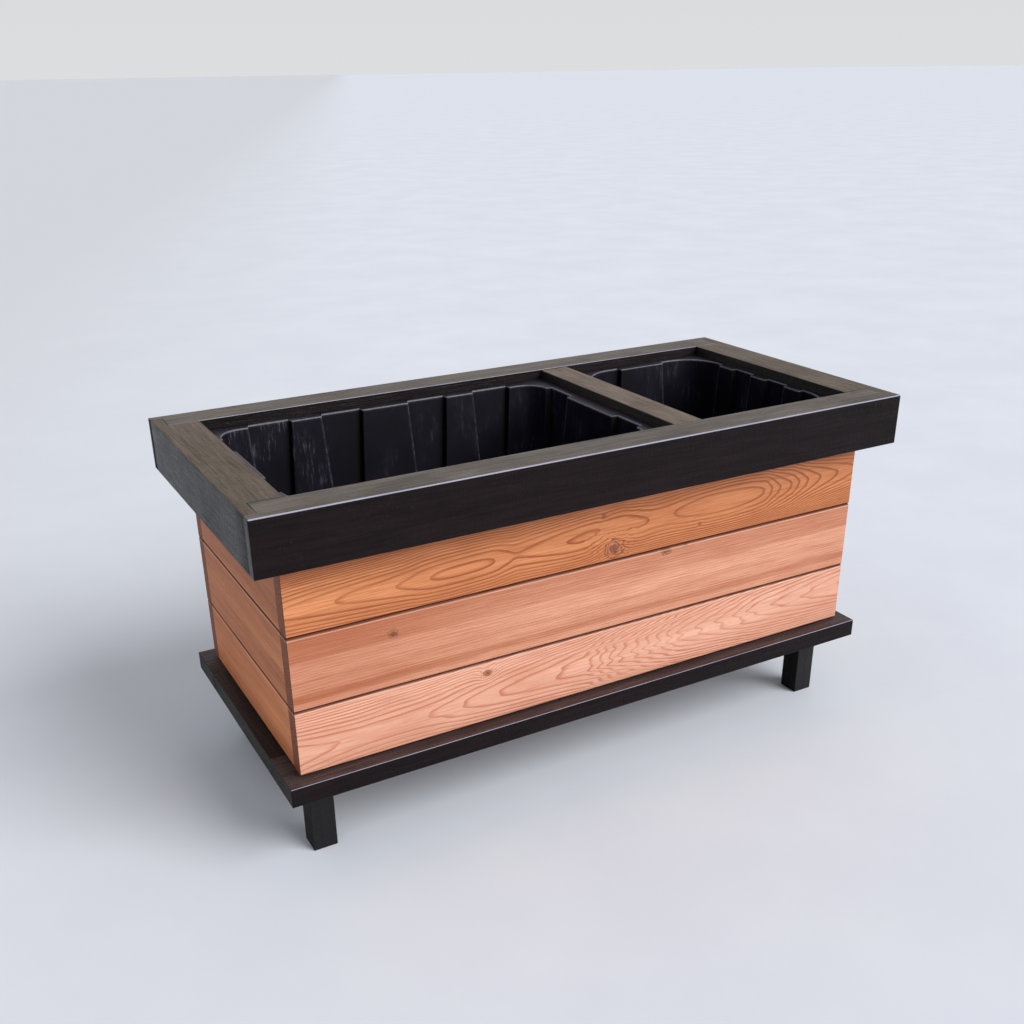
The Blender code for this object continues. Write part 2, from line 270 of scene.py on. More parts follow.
def curved_rings(graph, u, v, w, wander, teeth, rings):
    """(ring count, its slope per metre) on a flat-sawn board, whose rings close round an axis."""
    height, tilt, curvature, crossings = rings
    top_ring = max(ring for _, ring in crossings)
    points = [(at / SPAN + 0.5, ring / top_ring) for at, ring in crossings]
    position = graph.math("MULTIPLY_ADD", graph.add(u, teeth), 1 / SPAN, 0.5)
    along_axis = graph.times(graph.curve(position, points), top_ring)
    reach = 0.004  # share of the span on each side that the slope is taken over
    ahead = graph.curve(graph.add(position, reach), points)
    behind = graph.curve(graph.minus(position, reach), points)
    slope_u = graph.times(graph.minus(ahead, behind), top_ring / (2 * reach * SPAN))
    off = graph.add(v, -height, graph.times(u, -tilt), graph.times(wander, 0.012))
    bowl = graph.times(graph.times(off, off), curvature)
    slope_v = graph.times(off, 2 * curvature)
    count = graph.add(along_axis, bowl, graph.times(w, 60.0), graph.times(wander, 0.9))
    least = 500.0
    squares = graph.add(graph.times(slope_u, slope_u), graph.times(slope_v, slope_v), least)
    return count, graph.math("SQRT", squares)


def straight_rings(graph, v, w, wander):
    """(ring count, its slope per metre) on a quarter-sawn board."""
    slope = 210.0
    count = graph.add(graph.times(v, slope), graph.times(w, 90.0), graph.times(wander, 5.0))
    return count, slope


def rings_round_knots(graph, u, v, count, wander, ragged, knots):
    """(ring count pushed aside by the knots, share of knot, distance into the knot)."""
    knot, depth = 0.0, 0.0
    for at, up, radius, rise in knots:
        du = graph.times(graph.minus(u, at), 0.9 / radius)
        dv = graph.times(graph.minus(v, up), 1.1 / radius)
        far = graph.math("SQRT", graph.add(graph.times(du, du), graph.times(dv, dv)))
        far = graph.add(far, graph.times(wander, 1.2), graph.times(ragged, 1.3))
        hump = graph.math("EXPONENT", graph.times(graph.times(far, far), -0.20))
        count = graph.add(count, graph.times(hump, rise))
        knot = graph.larger(knot, graph.step(far, 1.20, 0.85))
        depth = graph.larger(depth, graph.step(far, 1.3, 0.0, smooth=False))
    return count, knot, depth


def late_wood(graph, count, slope):
    """Dark lines that come in softly over a ring's growth and end sharply."""
    share = graph.math("FRACT", count)
    before = graph.math("DIVIDE", graph.minus(1.0, share), slope)
    after = graph.math("DIVIDE", share, slope)
    soft = graph.math("POWER", graph.step(before, 0.0075, 0.0), 1.4)
    soft = graph.times(soft, graph.step(share, 0.50, 0.85))
    line = graph.larger(soft, graph.step(after, 0.0010, 0.0))
    return graph.times(line, graph.step(slope, 220.0, 650.0, 1.0, 0.6))


def layered(graph, colour, over, *layers):
    """The colour with another laid over it by each layer's (noise, low, high, share)."""
    for value, low, high, share in layers:
        colour = graph.mix(graph.step(value, low, high, 0.0, share), colour, over)
    return colour


def height_toned(graph, colour, dark, u, v, wander, streaks, tone_curve, left):
    """The colour darkened by a curve over height, and by left towards the board's left end.
    On the upper board the curve is painted shadow under the rim; on the middle board, the wood's
    bands.
    """
    low, high, points = tone_curve
    bent = graph.add(v, graph.times(wander, 0.010))
    share = graph.curve(graph.step(bent, low, high, smooth=False), points)
    share = graph.times(share, graph.step(streaks, 0.3, 0.7, 0.75, 1.15))
    share = graph.add(graph.times(share, 0.9), graph.step(u, -0.1, -0.5, 0.0, left))
    return graph.mix(share, colour, dark)


def knotted(graph, colour, knot, depth, ragged, fibres):
    """The colour with ringed, cracked knots and the dark rim round each."""
    circles = graph.step(graph.math("PINGPONG", graph.times(depth, 4.0), 0.5), 0.15, 0.35)
    heart = graph.mix(graph.times(circles, 0.8), KNOT_PALE, KNOT_RING)
    heart = layered(graph, heart, KNOT_HEART, (depth, 0.40, 0.70, 0.8))
    heart = layered(graph, heart, KNOT_CRACK, (ragged, 0.02, 0.12, 0.7))
    colour = graph.mix(graph.times(knot, 0.92), colour, heart)
    rim = graph.times(graph.step(depth, 0.0, 0.10), graph.step(depth, 0.26, 0.12))
    rim = graph.times(rim, graph.step(fibres, 0.35, 0.55, 0.35, 0.9))
    return graph.mix(rim, colour, KNOT_RIM)


def end_grain(graph, place, count, seed):
    pores = graph.noise(place, (60.0, 700.0, 1100.0), seed, 3.0)
    tone = graph.mix(graph.step(pores, 0.35, 0.65), END_LIGHT, END_DARK)
    return layered(graph, tone, END_RING, (graph.math("FRACT", count), 0.6, 1.0, 0.6))


def joint_grooves(graph, colour, v):
    """Painted shade in the grooves at the joints between courses, each with a painted highlight on
    the lit chamfer below it.
    """
    for height in JOINTS:
        near = graph.size(graph.minus(v, height))
        colour = layered(graph, colour, GROOVE_SHADE, (near, 0.0032, 0.0018, 0.92))
        low, middle, high = height - 0.0056, height - 0.0044, height - 0.0032
        lit = graph.times(graph.step(v, low, middle), graph.step(v, high, middle))
        colour = graph.mix(graph.times(lit, 0.45), colour, LIT_CHAMFER)
    return colour


def cedar(
    name, along, tones, rings=None, knots=(), seed=0.0,
    bands=1.0, kink=0.0, tone_curve=None, lines=0.85, left=0.0,
):
    """Bare cedar. tones are its light and dark display colours. rings are the growth rings as
    (axis height, axis tilt, curvature, [(u, ring number) along the axis]); without them the grain
    is straight. knots are (u, height, radius, rings pushed aside). bands, kink, lines and left are
    the strengths of broad bands, zigzags in the rings, dark lines and a darker left end.
    tone_curve is (low, high, darkness against height); on the upper board that darkness is painted
    shadow under the rim."""
    graph = Graph(name)
    light, dark = tones
    u, v, w = board_axes(graph, along)
    place = graph.vector(u, v, w)
    wander = graph.minus(graph.noise(place, (3.2, 11.0, 4.0), seed, 3.0), 0.5)
    teeth = graph.minus(graph.noise(place, (5.0, 105.0, 10.0), seed + 3.0, 0.0), 0.5)
    teeth = graph.times(teeth, graph.step(u, -0.22, 0.02, 0.4 * kink, kink))
    ragged = graph.minus(graph.noise(place, (60.0, 150.0, 60.0), seed, 3.0, 0.6), 0.5)
    if rings:
        count, slope = curved_rings(graph, u, v, w, wander, teeth, rings)
    else:
        count, slope = straight_rings(graph, v, w, wander)
    count, knot, depth = rings_round_knots(graph, u, v, count, wander, ragged, knots)
    fade = graph.noise(place, (5.0, 40.0, 40.0), seed + 9.0, 3.0)
    line = graph.times(late_wood(graph, count, slope), graph.step(fade, 0.3, 0.65, 0.55, 1.0))

    streaks = graph.noise(place, (9.0, 520.0, 520.0), seed + 5.0, 4.0, 0.65)
    fibres = graph.noise(place, (26.0, 900.0, 900.0), seed + 6.0, 3.0, 0.7)
    broad = graph.noise(place, (0.9, 24.0, 20.0), seed + 7.0, 3.0)
    blotches = graph.noise(place, (5.0, 16.0, 16.0), seed + 8.0, 4.0, 0.6)
    colour = graph.mix(graph.times(line, lines), light, dark)
    colour = layered(
        graph, colour, dark,
        (streaks, 0.40, 0.72, 0.50), (fibres, 0.46, 0.72, 0.42),
        (broad, 0.35, 0.7, 0.34 * bands), (blotches, 0.40, 0.70, 0.22),
    )
    pale = tuple(min(255, c * 1.07 + 10) for c in light)
    colour = layered(graph, colour, pale, (broad, 0.45, 0.25, 0.45 * bands))
    if tone_curve:
        colour = height_toned(graph, colour, dark, u, v, wander, streaks, tone_curve, left)
    if knots:
        colour = knotted(graph, colour, knot, depth, ragged, fibres)
    end = graph.step(graph.size(graph.normal()["XYZ".index(along)]), 0.8, 0.95)
    colour = graph.mix(end, colour, end_grain(graph, place, count, seed))
    colour = joint_grooves(graph, colour, v)
    height = graph.add(graph.times(line, 0.5), graph.times(streaks, 0.8), graph.times(fibres, 0.5))
    roughness = graph.step(streaks, 0.2, 0.8, 0.50, 0.68)
    return graph.finish(colour, roughness, graph.bump(height, 0.0005), Specular_IOR_Level=0.35)


def softwood(name, along, seed):
    return cedar(name, along, PINE, seed=seed, bands=0.8)


# ---------------------------------------------------------------- stain, plastic and steel
def edge_shine(graph, colour, py, pz, facing, soft):
    """The colour with pale lines along the edges that catch the light."""
    for at, low in SHINING_EDGES:
        near = graph.step(graph.size(graph.minus(py, at)), *SHINE_BAND)
        shine = graph.times(graph.times(near, facing), graph.step(pz, low, low + 0.001))
        shine = graph.times(shine, graph.step(soft, 0.25, 0.6, 0.55, 0.9))
        colour = graph.mix(shine, colour, STAIN_SHINE)
    return colour


def top_seams(graph, colour, px, py):
    def between(value, low, high):
        soft = 0.0004
        rise, fall = graph.step(value, low - soft, low), graph.step(value, high + soft, high)
        return graph.times(rise, fall)

    for x_range, y_range in TOP_SEAMS:
        seam = graph.times(between(px, *x_range), between(py, *y_range))
        colour = graph.mix(seam, colour, STAIN_SEAM)
    return colour


def stain(
    name, along, top=STAIN_TOP, side=STAIN_SIDE, ends=STAIN_END,
    ripple=1.0, sheen=0.5, gloss=0.5, seed=0.0,
):
    """Brushed wood under dark stain, its grain along X, Y or Z. top, side and ends are the colours
    of faces that point along Z, Y and X. ripple is how strong the marks across the grain are.
    sheen and gloss are the specular levels of the ends and the top."""
    graph = Graph(name)
    place = graph.place()
    px, py, pz = graph.parts(place)
    x, y, z = graph.normal()
    sideways = graph.step(graph.size(x), 0.5, 0.9)
    if along == "X":
        swapped = graph.vector(py, px, pz)
        place = graph.mix(graph.step(sideways, 0.4, 0.6), place, swapped)

    def noise(low, high, *more):
        """Noise with one scale along the grain and another across it."""
        return graph.noise(place, tuple(low if axis == along else high for axis in "XYZ"), *more)

    fine = noise(14.0, 520.0, seed, 4.0, 0.65)
    soft = noise(6.0, 110.0, seed + 2.0, 3.0, 0.55, 0.8)
    cross = noise(150.0, 48.0, seed + 3.0, 4.0, 0.65, 1.8)
    patches = noise(9.0, 9.0, seed + 4.0, 4.0)
    specks = noise(420.0, 420.0, seed + 6.0, 1.0)
    up = graph.step(z, 0.55, 0.97)
    lengthways = graph.step(graph.size(y), 0.5, 0.9)

    def shade(strength, more):
        tones = [tuple(c * strength + more for c in tone) for tone in (side, ends, top)]
        return graph.mix(up, graph.mix(sideways, tones[0], tones[1]), tones[2])

    base, paler, deeper = shade(1.0, 0), shade(1.18, 5), shade(0.55, 0)
    colour = graph.mix(graph.step(soft, 0.35, 0.7), base, paler)
    colour = layered(graph, colour, deeper, (fine, 0.46, 0.72, 0.85))
    patchy = graph.step(patches, 0.45, 0.75, 0.0, 0.35)
    patchy = graph.times(patchy, graph.step(sideways, 0.5, 1.0, 1.0, 0.2))
    colour = graph.mix(patchy, colour, deeper)
    colour = layered(graph, colour, deeper, (cross, 0.50, 0.75, 0.22 * ripple))
    speck = graph.times(graph.step(specks, 0.72, 0.78), graph.step(patches, 0.45, 0.65))
    colour = graph.mix(graph.times(speck, 0.25), colour, STAIN_SPECK)
    scuffed = graph.times(graph.step(cross, 0.46, 0.66), graph.step(fine, 0.60, 0.40))
    scuffed = graph.times(graph.times(scuffed, sideways), 0.12 * ripple)
    colour = graph.mix(scuffed, colour, STAIN_SCUFF)
    facing = graph.times(graph.step(y, -0.2, -0.5), graph.step(z, 0.2, 0.5))
    colour = edge_shine(graph, colour, py, pz, facing, soft)
    colour = top_seams(graph, colour, px, py)

    marks = graph.times(cross, 0.9 * ripple)
    height = graph.add(graph.times(fine, 0.7), graph.times(soft, 0.8), marks)
    roughness = graph.step(fine, 0.3, 0.75, 0.36, 0.52)
    roughness = graph.add(roughness, graph.step(patches, 0.3, 0.7, -0.03, 0.05))
    outer = graph.step(graph.size(py), 0.24, 0.26, 0.5, 0.18)  # inner faces are glossier
    level = graph.mix_value(lengthways, graph.mix_value(up, sheen, gloss), outer)
    graph.put(level, graph.shader.inputs["Specular IOR Level"])
    return graph.finish(colour, roughness, graph.bump(height, 0.0012), IOR=1.36)


def plastic(name):
    """Black moulded plastic with dust and scuffs. The mesh's edge attribute is, from 0 to 1, worn
    edges with a painted highlight; more than 1, a painted highlight on the lip's edge; and
    negative, painted shade down in a fold."""
    graph = Graph(name)
    place = graph.place()
    edge = graph.node("Attribute", attribute_name="edge").outputs["Fac"]
    grit = graph.noise(place, (900.0, 900.0, 900.0), 0.0, 2.0)
    drips = graph.noise(place, (230.0, 230.0, 16.0), 2.0, 5.0, 0.75)
    clouds = graph.noise(place, (14.0, 14.0, 9.0), 5.0, 4.0, 0.6)
    scratches = graph.noise(place, (60.0, 60.0, 420.0), 8.0, 3.0, 0.7, 2.0)
    worn = graph.noise(place, (500.0, 500.0, 90.0), 4.0, 4.0, 0.75)
    x, y, z = graph.parts(place)
    high = graph.step(z, 0.34, 0.55)
    left = graph.step(x, -0.15, -0.45, 0.35, 1.0)
    dust = graph.times(graph.step(drips, 0.52, 0.72), graph.step(clouds, 0.46, 0.62))
    dust = graph.times(graph.times(dust, high), left)
    colour = graph.mix(graph.step(clouds, 0.3, 0.7), PLASTIC_DARK, PLASTIC_LIGHT)
    colour = graph.mix(graph.times(dust, 0.55), colour, PLASTIC_DUST)
    scuff = graph.times(graph.step(scratches, 0.66, 0.74), graph.step(clouds, 0.40, 0.60))
    colour = graph.mix(graph.times(scuff, graph.times(high, 0.30)), colour, PLASTIC_SCUFF)
    # worn edges, with a painted highlight on one side of each recess
    wear_and_light = graph.step(edge, 0.05, 0.9, smooth=False)
    wear_and_light = graph.times(wear_and_light, graph.step(worn, 0.40, 0.66, 0.10, 1.0))
    colour = graph.mix(graph.times(wear_and_light, 0.42), colour, PLASTIC_WORN_HIGHLIGHT)
    # painted highlight along the lip's edge, broken up by wear
    lip = graph.step(edge, 1.2, 1.7, 0.0, 0.32)
    lip = graph.times(lip, graph.step(worn, 0.35, 0.55, 0.4, 1.0))
    colour = graph.mix(lip, colour, PLASTIC_LIP_HIGHLIGHT)
    # painted shade down in the folds of the recesses and ribs
    colour = layered(graph, colour, PLASTIC_FOLD_SHADE, (edge, -0.1, -0.9, 0.85))
    height = graph.add(graph.times(grit, 0.35), clouds, graph.times(drips, 0.3))
    roughness = graph.step(graph.add(dust, graph.times(grit, 0.3)), 0.0, 0.8, 0.38, 0.62)
    level = graph.step(graph.normal()[0], -0.3, -0.8, 0.5, 0.12)  # duller on right-hand walls
    graph.put(level, graph.shader.inputs["Specular IOR Level"])
    return graph.finish(colour, roughness, graph.bump(height, 0.0005), IOR=1.42)


def steel(name):
    graph = Graph(name)
    place = graph.place()
    brushed = graph.noise(place, (300.0, 2500.0, 300.0), 0.0, 3.0)
    cloudy = graph.noise(place, (180.0, 180.0, 180.0), 3.0, 2.0)
    colour = graph.mix(graph.step(cloudy, 0.35, 0.7), STEEL_LIGHT, STEEL_DARK)
    roughness = graph.step(brushed, 0.3, 0.7, 0.28, 0.45)
    return graph.finish(colour, roughness, graph.bump(brushed, 0.0001), Metallic=1.0)


# ---------------------------------------------------------------- pieces
def piece(name, mesh, material, body, slot, *nodes):
    mesh.materials.clear()
    mesh.materials.append(material)
    made = bpy.data.objects.new(name, mesh)
    bpy.context.scene.collection.objects.link(made)
    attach(made, body)
    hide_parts(*nodes)
    return made


def smooth_faces(made):
    for face in made.data.polygons:
        face.use_smooth = True
    weighted = made.modifiers.new("weighted", "WEIGHTED_NORMAL")
    weighted.keep_sharp = True


def eased(node, width, segments, material, slot):
    """The CAD node's own shape with rounded edges, as a new piece."""
    name = "look_" + node
    bm = bmesh.new()
    bm.from_mesh(NODES[node].data)
    bmesh.ops.remove_doubles(bm, verts=bm.verts, dist=1e-5)
    bmesh.ops.dissolve_limit(bm, angle_limit=FLAT_ANGLE, verts=bm.verts, edges=bm.edges)
    edges = [e for e in bm.edges if len(e.link_faces) == 2]
    sharp = [e for e in edges if e.calc_face_angle() > SHARP_ANGLE]
    bmesh.ops.bevel(
        bm, geom=sharp, offset=width, segments=segments, affect="EDGES", clamp_overlap=True
    )
    bmesh.ops.recalc_face_normals(bm, faces=bm.faces)
    mesh = bpy.data.meshes.new(name)
    bm.to_mesh(mesh)
    bm.free()
    smooth_faces(piece(name, mesh, material, "planter", slot, node))


def cells(cuts, filled):
    """A closed mesh round the filled cells of a grid, whose planes are cuts along X, Y and Z."""
    bm = bmesh.new()
    corners = {}

    def corner(i, j, k):
        key = (i, j, k)
        if key not in corners:
            corners[key] = bm.verts.new((cuts[0][i], cuts[1][j], cuts[2][k]))
        return corners[key]

    for i, j, k in filled:
        for axis in range(3):
            for side in (0, 1):
                other = [i, j, k]
                other[axis] += 2 * side - 1
                if tuple(other) in filled:
                    continue
                base = [i, j, k]
                base[axis] += side
                a, b = (axis + 1) % 3, (axis + 2) % 3
                loop = []
                for da, db in ((0, 0), (1, 0), (1, 1), (0, 1)):
                    at = list(base)
                    at[a] += da
                    at[b] += db
                    loop.append(corner(*at))
                bm.faces.new(loop if side else loop[::-1])
    bmesh.ops.dissolve_limit(bm, angle_limit=FLAT_ANGLE, verts=bm.verts, edges=bm.edges)
    return bm


def stained_piece(name, cuts, filled, width_of, material, *nodes):
    """Stained boards as one piece, with edges rounded by width_of(middle, direction)."""
    bm = cells(cuts, filled)
    mesh = bpy.data.meshes.new(name)
    widths = []
    for edge in bm.edges:
        middle = (edge.verts[0].co + edge.verts[1].co) / 2
        along = (edge.verts[1].co - edge.verts[0].co).normalized()
        widths.append(width_of(middle, along))
    bm.to_mesh(mesh)
    bm.free()
    weight = mesh.attributes.new("bevel_weight_edge", "FLOAT", "EDGE")
    weight.data.foreach_set("value", [w / BEVEL_UNIT for w in widths])
    made = piece(name, mesh, material, "planter", "black_stain", *nodes)
    bevel = made.modifiers.new("round", "BEVEL")
    bevel.width = BEVEL_UNIT
    bevel.segments = 4
    bevel.limit_method = "WEIGHT"
    smooth_faces(made)


def build_rim():
    low, high = CAD_BOX
    inner_low, inner_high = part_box("rim_rail_left")[1].x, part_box("rim_rail_right")[0].x
    front_y, back_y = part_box("rim_rail_front")[1].y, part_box("rim_rail_back")[0].y
    bottom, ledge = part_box("rim_fascia_front")[0].z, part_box("rim_rail_front")[0].z
    heights = [bottom, ledge, high.z]
    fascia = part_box("rim_fascia_front")[1].y
    left_in, right_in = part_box("rim_fascia_left")[1].x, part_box("rim_fascia_right")[0].x

    def width_of(middle, along):
        x, y = abs(middle.x), abs(middle.y)
        on_top = abs(middle.z - high.z) < SAME
        outer_x, outer_y = x > high.x - SAME, y > high.y - SAME
        if abs(along.z) > 0.5:
            return RIM_CORNER if outer_x and outer_y else 0.0
        if on_top and (outer_x or outer_y):
            return RIM_OUTER
        inner = y < abs(front_y) + SAME and inner_low - SAME < middle.x < inner_high + SAME
        if on_top and inner:
            return RIM_INNER
        seam = x > abs(inner_low) + SAME or y > abs(front_y) + SAME
        return RIM_SEAM if on_top and seam else RIM_OTHER

    def add(side, cuts, filled, material):
        """A fascia with the rail behind it."""
        nodes = ("rim_fascia_" + side, "rim_rail_" + side)
        stained_piece("rim_" + side, cuts, filled, width_of, MATERIALS[material], *nodes)

    ends = [low.x, left_in + SEAM, right_in - SEAM, high.x]
    front = {(i, 0, k) for i in range(3) for k in range(2)} | {(1, 1, 1)}
    back = {(i, 1 - j, k) for i, j, k in front}
    add("front", (ends, [low.y, fascia, front_y], heights), front, "stain_x")
    add("back", (ends, [back_y, -fascia, high.y], heights), back, "stain_x")
    outer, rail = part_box("rim_fascia_left"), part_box("rim_rail_left")
    across = [outer[0].y, rail[0].y, rail[1].y, outer[1].y]
    left = {(0, j, k) for j in range(3) for k in range(2)} | {(1, 1, 1)}
    right = {(1 - i, j, k) for i, j, k in left}
    add("left", ([low.x, left_in, inner_low], across, heights), left, "stain_y")
    add("right", ([inner_high, right_in, high.x], across, heights), right, "stain_y")
    eased("rim_divider", SQUARE_EDGE, 3, MATERIALS["stain_divider"], "black_stain")


def build_boards():
    for side in ("front", "back", "left", "right"):
        for course in ("lower", "middle", "upper"):
            node = f"{side}_board_{course}"
            eased(node, BOARD_EDGE, 2, MATERIALS[node], "cedar")


def build_stand():
    low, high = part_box("stand_rail_front")[0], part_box("stand_rail_back")[1]
    inner_y, end_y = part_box("stand_rail_front")[1].y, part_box("stand_rail_left")[0].y
    inner_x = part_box("stand_rail_left")[1].x

    def width_of(middle, along):
        outer_x, outer_y = abs(middle.x) > high.x - SAME, abs(middle.y) > high.y - SAME
        return STAND_EDGE if outer_x or (outer_y and abs(along.y) < 0.5) else 0.0

    def add(side, cuts, material):
        cell, rail = {(0, 0, 0)}, "stand_rail_" + side
        stained_piece("stand_" + side, cuts, cell, width_of, MATERIALS[material], rail)

    heights = [low.z, high.z]
    for side, y_cuts in (("front", [low.y, inner_y]), ("back", [-inner_y, high.y])):
        cuts = ([low.x, high.x], y_cuts, heights)
        add(side, cuts, "stand_x")
    for side, x_cuts in (("left", [low.x, inner_x]), ("right", [-inner_x, high.x])):
        cuts = (x_cuts, [end_y, -end_y], heights)
        add(side, cuts, "stand_y")
    for side in ("front", "back"):
        for end in ("left", "right"):
            eased(f"leg_{side}_{end}", SQUARE_EDGE, 3, MATERIALS["leg"], "black_stain")


def wall_points(centres, half, depth, length):
    """(along, outward, edge mark) points of one wall, with recesses or, where depth is negative,
    ribs. An edge mark of 1 is a worn edge with a painted highlight, and -1 a fold of painted shade."""
    s, turn = RECESS_SLOPE / 2, 0.0004
    low, high = 0.12 * depth, 0.88 * depth
    if depth < 0:
        rise = (
            (-s - 0.0060, 0, 0.0), (-s - turn, 0, -0.8), (-s / 2, low, -0.9),
            (s / 2, high, -0.7), (s + turn, depth, 0.0), (s + 0.0030, depth, 0.0),
        )
        fall = (
            (-s - 0.0042, depth, 0.0), (-s - turn, depth, 0.8), (-s / 2, high, 0.7),
            (s / 2, low, 0.0), (s + turn, 0, 0.0), (s + 0.0030, 0, 0.0),
        )
    else:
        rise = (
            (-s - 0.0042, 0, 0.0), (-s - turn, 0, 1.0), (-s / 2, low, 0.9),
            (s / 2, high, 0.0), (s + turn, depth, 0.0), (s + 0.0040, depth, 0.0),
        )
        fall = (
            (-s - 0.0100, depth, 0.0), (-s - turn, depth, -0.8), (-s / 2, high, -1.0),
            (s / 2, low, -0.8), (s + turn, 0, 0.0), (s + 0.0030, 0, 0.0),
        )
    points = [(-length, 0.0, 0.0)]
    for centre in centres:
        for at, profile in ((centre - half, rise), (centre + half, fall)):
            points += [(at + past, outward, edge_mark) for past, outward, edge_mark in profile]
    return points + [(length, 0.0, 0.0)]


def liner_outline(half_x, half_y, radius, walls, depth):
    """(x, y, edge mark) points round a tub, anticlockwise from its +X wall."""
    cx, cy = half_x - radius, half_y - radius
    on_x = wall_points(*walls[0], depth, cy)
    on_y = wall_points(*walls[1], depth, cx)

    def arc(x, y, quarter):
        steps = range(1, ARC_STEPS)
        angles = [(quarter + step / ARC_STEPS) * math.pi / 2 for step in steps]
        return [(x + radius * math.cos(a), y + radius * math.sin(a), 0.0) for a in angles]

    return [
        *[(half_x + out, along, e) for along, out, e in on_x],
        *arc(cx, cy, 0),
        *[(-along, half_y + out, e) for along, out, e in mirrored(on_y)],
        *arc(-cx, cy, 1),
        *[(-half_x - out, -along, e) for along, out, e in on_x],
        *arc(-cx, -cy, 2),
        *[(along, -half_y - out, e) for along, out, e in on_y],
        *arc(cx, -cy, 3),
    ]


def mirrored(points):
    """The same wall with its worn, highlighted edges and its painted shade on the other sides of
    each recess.
    """
    return [(-along, out, e) for along, out, e in reversed(points)]


def liner_rings(node):
    """The liner's rings of points, up its inside, over the lip and down its outside."""
    low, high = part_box(node)
    left, right, half_y, walls, ribbed = TUBS[node]
    centre = (left + right) / 2
    top, bottom, floor = high.z, LINER_BOTTOM, LINER_BOTTOM + WALL
    full_depth = -RECESS_DEPTH if ribbed else RECESS_DEPTH
    half_x = (right - left) / 2 - WALL - max(full_depth, 0.0)
    half_y = half_y - WALL - max(full_depth, 0.0)
    rounder = SMALL_TOP_RADIUS - TUB_RADIUS if ribbed else 0.0
    rings = []

    def tub(z, wall, inset=0.0, wear_and_light=1.0, edge_mark=None):
        """Adds a ring of the tub, grown by wall and drawn in by inset. The fourth argument scales
        its edge marks (wear, painted highlight and painted shade), and the fifth replaces them."""
        lean = DRAFT * (top - z) + inset
        fall = (top - z) / (top - bottom)
        radius = TUB_RADIUS + rounder * (1 - fall) + wall
        if ribbed:
            here = [(centres, half + RIB_SPREAD * fall - wall) for centres, half in walls]
        else:
            taper = 1 - RECESS_TAPER * fall
            here = [(centres, half * taper + wall) for centres, half in walls]
        depth = full_depth * max(0.0, 1 - inset / RECESS_ENDS)
        outline = liner_outline(half_x + wall - lean, half_y + wall - lean, radius, here, depth)
        edge = [e * wear_and_light if edge_mark is None else edge_mark for _, _, e in outline]
        rings.append([(x + centre, y, z, e) for (x, y, _), e in zip(outline, edge)])

    def lip(z, inset):
        middle = (low.x + high.x) / 2
        reach_x, reach_y = (high.x - low.x) / 2 - inset, high.y - inset
        outline = liner_outline(reach_x, reach_y, LIP_RADIUS, walls, 0.0)
        rings.append([(x + middle, y, z, 0.0) for x, y, _ in outline])

    for above, inset in INNER_BOTTOM:
        tub(floor + above, 0.0, inset)
    wall_foot, wall_head = floor + 0.012, top - 0.006
    for i in range(1, 9):
        tub(wall_foot + (wall_head - wall_foot) * i / 8, 0.0)
    tub(top - 0.0030, 0.0)
    for below, inset, edge_mark in ROLLED_EDGE:
        tub(top - below, 0.0, inset, edge_mark=edge_mark)
    for below, inset in ((0.0, 0.0008), (0.0006, 0.0), (LIP - 0.0006, 0.0), (LIP, 0.0006)):
        lip(top - below, inset)
    wall_head, wall_foot = top - LIP, bottom + 0.010
    tub(wall_head, WALL, 0.0, 0.0)
    for i in range(1, 5):
        tub(wall_head + (wall_foot - wall_head) * i / 4, WALL, 0.0, 0.3)
    tub(bottom + 0.003, WALL, 0.003, 0.0)
    tub(bottom, WALL, 0.010, 0.0)
    return rings


def build_liner(node):
    rings = liner_rings(node)
    bm = bmesh.new()
    # each point's wear, painted highlight and painted shade
    wear_and_light = bm.verts.layers.float.new("edge")
    loops = []
    for ring in rings:
        loops.append([bm.verts.new(point[:3]) for point in ring])
        for vert, point in zip(loops[-1], ring):
            vert[wear_and_light] = point[3]
    bm.faces.new(loops[0])
    bm.faces.new(loops[-1][::-1])
    for one, other in zip(loops, loops[1:]):
        for i in range(len(one)):
            bm.faces.new((one[i - 1], one[i], other[i], other[i - 1]))
    bmesh.ops.recalc_face_normals(bm, faces=bm.faces)
    mesh = bpy.data.meshes.new("look_" + node)
    bm.to_mesh(mesh)
    bm.free()
    material = MATERIALS["plastic"]
    smooth_faces(piece("look_" + node, mesh, material, node, "liner_plastic", node))


def plain_material(name):
    if name.startswith("leg_screw"):
        return "steel"
    if name.startswith("corner_post"):
        return "softwood_z"
    if name.startswith(("floor_slat", "divider_bearer")):
        return "softwood_y"
    if name.startswith(("rim_cleat", "bearer_hanger")):
        return "softwood_y" if name.endswith(("left", "right")) else "softwood_x"
    return None


def build_plain():
    """CAD nodes that stay as they are, with their materials."""
    for name, node in NODES.items():
        found = plain_material(name)
        if found:
            node.data.materials.clear()
            node.data.materials.append(MATERIALS[found])


# ---------------------------------------------------------------- stage
def add_camera():
    pitch, yaw, roll = (math.radians(a) for a in (CAMERA_PITCH, CAMERA_YAW, CAMERA_ROLL))
    flat = math.cos(pitch)
    ahead = Vector((math.sin(yaw) * flat, math.cos(yaw) * flat, -math.sin(pitch)))
    level = Vector((math.cos(yaw), -math.sin(yaw), 0.0))
    down = ahead.cross(level)
    right = level * math.cos(roll) + down * math.sin(roll)
    below = -level * math.sin(roll) + down * math.cos(roll)
    data = bpy.data.cameras.new("camera")
    data.lens = CAMERA_LENS
    data.sensor_width = 36.0
    data.shift_y = CAMERA_SHIFT_Y
    camera = bpy.data.objects.new("camera", data)
    turn = Matrix((right, -below, -ahead)).transposed()
    camera.matrix_world = Matrix.Translation(CAMERA_AT) @ turn.to_4x4()
    bpy.context.scene.collection.objects.link(camera)
    bpy.context.scene.camera = camera


